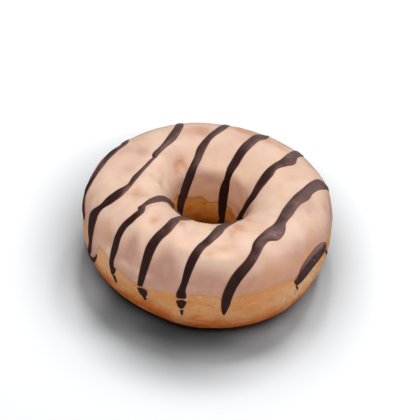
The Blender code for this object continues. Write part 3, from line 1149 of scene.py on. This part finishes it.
# --- dough: golden crust, paler in the band under the icing, browner towards the base and in the hole
n = Nodes("fried_dough")
wander = n.number("MULTIPLY", n.number("SUBTRACT", n.noise(95.0, 3.0, 0.55), 0.5), 0.012)
level = n.number("ADD", n.height(), wander)
pale = n.mix(n.ramp(n.noise(70.0, 2.0, 0.5), 0.38, 0.62), (0.65, 0.265, 0.086, 1), (0.67, 0.335, 0.150, 1))
tone = n.mix(n.ramp(level, 0.0080, 0.0140), (0.60, 0.130, 0.010, 1), pale)
tone = n.mix(n.ramp(level, 0.0080, 0.0010), tone, (0.42, 0.055, 0.003, 1))
streaks = n.noise(150.0, 4.0, 0.65, (1, 1, 3.2))
tone = n.mix(n.ramp(streaks, 0.45, 0.72, 0.0, 0.5), tone, (0.76, 0.42, 0.20, 1))
tone = n.mix(n.ramp(n.noise(480.0, 3.0, 0.6, (1, 1, 1.8)), 0.52, 0.75, 0.0, 0.55), tone, (0.50, 0.13, 0.022, 1))
tone = n.mix(n.ramp(n.attribute("covered"), -0.9, -0.1, 0.0, 0.2), tone, (0.56, 0.22, 0.06, 1))
tone = n.mix(n.ramp(n.attribute("pits"), 0.04, 0.25, 0.0, 0.45), tone, (0.42, 0.12, 0.02, 1))
speckle = n.noise(620.0, 4.0, 0.65, (1.7, 0.55, 2.2))
tone = n.mix(n.ramp(n.attribute("pale"), 0.0, 1.0, 0.0, 0.8), tone, (0.72, 0.44, 0.27, 1))
tone = n.mix(n.number("MULTIPLY", n.attribute("scuff"), n.ramp(speckle, 0.44, 0.70, 0.0, 0.75)), tone, (0.86, 0.58, 0.38, 1))
deep = n.ramp(n.height(), 0.015, 0.003)
hole_tone = n.mix(n.ramp(n.noise(260.0, 3.0, 0.6), 0.4, 0.65), (0.80, 0.33, 0.070, 1), (0.66, 0.19, 0.020, 1))
hole_tone = n.mix(deep, hole_tone, (0.52, 0.10, 0.004, 1))
tone = n.mix(n.number("MULTIPLY", n.attribute("in_hole"), 0.9), tone, hole_tone)
n.link(tone, "Base Color")
n.link(n.ramp(n.noise(300.0, 3.0), 0.3, 0.7, 0.48, 0.68), "Roughness")
n.value("IOR", 1.45)
n.value("Specular IOR Level", 0.12)
n.value("Subsurface Weight", 0.10)
n.value("Subsurface Radius", (1.0, 0.5, 0.25))
n.value("Subsurface Scale", 0.0015)
fine = n.bump(n.noise(2600.0, 4.0, 0.6), 0.00006, 0.7)
n.link(n.bump(n.noise(620.0, 4.0, 0.6, (1, 1, 1.6)), 0.00030, 0.8, fine), "Normal")
DOUGH = n.material

# --- chocolate: set and satin, reddish where it thins out at its edges, with painted highlights on its lit spots and painted shade in the hole
n = Nodes("dark_chocolate")
tone = n.mix(n.ramp(n.noise(400.0, 3.0), 0.35, 0.7), (0.018, 0.0062, 0.0052, 1), (0.024, 0.0088, 0.0074, 1))
# painted shade: near black in the hole and at the darker spots
tone = n.mix(n.ramp(n.attribute("painted_shade"), 0.0, 1.0, 0.0, 0.9), tone, (0.003, 0.0016, 0.0013, 1))
# painted highlight, with a speckled grain
speckled_highlight = n.number("MULTIPLY", n.attribute("painted_highlight"), n.ramp(n.noise(900.0, 3.0, 0.6), 0.30, 0.68, 0.25, 1.0))
tone = n.mix(n.ramp(speckled_highlight, 0.0, 1.0), tone, (0.135, 0.083, 0.079, 1))
tone = n.mix(n.ramp(n.attribute("film"), 0.25, 0.85, 0.0, 0.9), tone, (0.20, 0.050, 0.024, 1))
bloom_and_highlight = n.noise(1300.0, 2.0, 0.6)
tone = n.mix(n.ramp(bloom_and_highlight, 0.52, 0.72, 0.0, 0.35), tone, (0.070, 0.030, 0.026, 1))
n.link(tone, "Base Color")
rough_by = n.number("ADD", n.ramp(n.noise(330.0, 3.0), 0.3, 0.7, 0.40, 0.52), n.ramp(n.attribute("painted_shade"), 0.0, 1.0, 0.0, 0.42))
rough_by = n.number("MINIMUM", n.number("ADD", rough_by, n.ramp(n.attribute("film"), 0.25, 0.85, 0.0, 0.30)), 0.95)
n.link(rough_by, "Roughness")
n.value("IOR", 1.6)
n.value("Specular IOR Level", 1.0)
n.value("Specular Tint", (1.0, 0.56, 0.51, 1))
fine = n.bump(n.noise(1900.0, 3.0, 0.6), 0.00004, 0.7)
n.link(n.bump(n.noise(420.0, 3.0, 0.55), 0.00008, 0.6, fine), "Normal")
CHOCOLATE = n.material

dough.data.materials.append(DOUGH)
icing.data.materials.append(ICING)
crumbs.data.materials.append(ICING)
for piece in chocolate:
    piece.data.materials.append(CHOCOLATE)

# ---------------------------------------------------------------------------------------------------------------------
# Floor and light
# ---------------------------------------------------------------------------------------------------------------------

n = Nodes("floor")
# the photo's shadow is darker close by than light alone makes it, and lighter at the right, so the floor has soft
# spots there: middle, reach, how much darker (or lighter, where negative) and how hard the edge is
where = n.add("ShaderNodeSeparateXYZ")
n.tree.links.new(n.add("ShaderNodeTexCoord").outputs["Object"], where.inputs[0])
dark = None
for x, y, reach_x, reach_y, depth, hard in (
    (-0.0025, 0.0279, 0.0536, 0.0492, 0.811, 1.36),
    (-0.0014, -0.0108, 0.0555, 0.0531, 0.548, 2.18),
    (-0.0009, -0.0442, 0.0212, 0.0080, 1.200, 1.24),
    (-0.0407, -0.0159, 0.0091, 0.0208, -0.630, 1.60),
    (0.0078, -0.0414, 0.0198, 0.0146, -1.069, 1.60),
    (0.0371, -0.0199, 0.0050, 0.0091, -0.820, 1.29),
    (0.0402, -0.0048, 0.0050, 0.0148, -0.820, 1.60),
    (0.0303, -0.0292, 0.0071, 0.0110, -0.902, 1.05),
    (-0.0178, -0.0465, 0.0147, 0.0071, -0.589, 0.87),
    (0.0, 0.0, 0.0210, 0.0210, 6.0, 3.0),  # in the hole
):
    across = n.number("MULTIPLY_ADD", where.outputs["X"], 1 / reach_x, -x / reach_x)
    away = n.number("MULTIPLY_ADD", where.outputs["Y"], 1 / reach_y, -y / reach_y)
    far = n.number("ADD", n.number("MULTIPLY", across, across), n.number("MULTIPLY", away, away))
    patch = n.number("EXPONENT", n.number("MULTIPLY", n.number("POWER", far, hard), -1.0))
    patch = n.number("MULTIPLY", patch, depth)
    dark = patch if dark is None else n.number("ADD", dark, patch)
dark = n.number("MAXIMUM", n.number("MINIMUM", dark, 0.98), -1.6)
light = n.number("MULTIPLY_ADD", dark, -1 / 3.5, 1 / 3.5)
n.link(n.mix(light, (0.0, 0.0, 0.0, 1), (0.4375, 0.441, 0.448, 1)), "Base Color")
n.value("Roughness", 0.9)
n.value("Specular IOR Level", 0.1)
bpy.ops.mesh.primitive_plane_add(size=8.0)
floor = bpy.context.active_object
floor.name = "floor"
floor.data.materials.append(n.material)
floor.visible_glossy = False

world = bpy.data.worlds.new("studio")
bpy.context.scene.world = world
world.use_nodes = True
world.node_tree.nodes["Background"].inputs["Color"].default_value = (1, 1, 1, 1)
world.node_tree.nodes["Background"].inputs["Strength"].default_value = WORLD

# Soft boxes that light only the doughnut, and one that lights only the floor, whose shadow is what the photo shows
on_doughnut = bpy.data.collections.new("lit_doughnut")
on_floor = bpy.data.collections.new("lit_floor")
for collection in (on_doughnut, on_floor):
    bpy.context.scene.collection.children.link(collection)
for piece in (dough, icing, crumbs, *chocolate):
    on_doughnut.objects.link(piece)
on_floor.objects.link(floor)


def softbox(name, toward, distance, size, power, only, mirrored=True):
    """A round light in the direction toward from the doughnut."""
    light = bpy.data.lights.new(name, "AREA")
    light.shape = "DISK"
    light.size = size
    light.energy = power
    thing = bpy.data.objects.new(name, light)
    aim = Vector((0, 0, 0.02))
    thing.location = aim + Vector(toward).normalized() * distance
    thing.rotation_euler = (aim - thing.location).to_track_quat("-Z", "Y").to_euler()
    bpy.context.scene.collection.objects.link(thing)
    thing.light_linking.receiver_collection = only
    thing.visible_glossy = mirrored
    return thing


softbox("overhead", (0.0, 0.0, 1.0), 0.80, 1.10, OVERHEAD_LIGHT, on_doughnut, False)
softbox("key", (0.40, 0.52, 0.78), 0.80, 0.42, KEY_LIGHT, on_doughnut)
softbox("front", (0.0, -0.62, 0.78), 0.80, 0.45, FRONT_LIGHT, on_doughnut, mirrored=False)
softbox("left", (-0.85, -0.10, 0.50), 0.80, 0.60, LEFT_LIGHT, on_doughnut, False)
softbox("right", (0.85, -0.10, 0.50), 0.80, 0.60, RIGHT_LIGHT, on_doughnut)
# What the chocolate mirrors of its white surroundings, behind it and on its right
on_chocolate = bpy.data.collections.new("lit_chocolate")
bpy.context.scene.collection.children.link(on_chocolate)
for piece in chocolate:
    on_chocolate.objects.link(piece)
for name, toward, size, power in (
    ("sheen_behind", (0.10, 1.0, 0.14), 1.0, SHEEN_BEHIND),
    ("sheen_right", (0.90, 0.30, 0.25), 0.9, SHEEN_RIGHT),
):
    softbox(name, toward, 0.80, size, power, on_chocolate).visible_diffuse = False
softbox("above_floor", (0.0, 0.0, 1.0), 0.80, 1.40, ABOVE_FLOOR, on_floor)
softbox("behind_floor", (0.10, 0.58, 1.0), 0.80, 0.35, BEHIND_FLOOR, on_floor)

scene = bpy.context.scene
scene.view_settings.view_transform = "Standard"
scene.view_settings.look = "None"

# ---------------------------------------------------------------------------------------------------------------------
# What rides and what is replaced
# ---------------------------------------------------------------------------------------------------------------------

for piece in (dough, icing, crumbs, *chocolate):
    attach(piece, "root")
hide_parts("doughnut_ring")
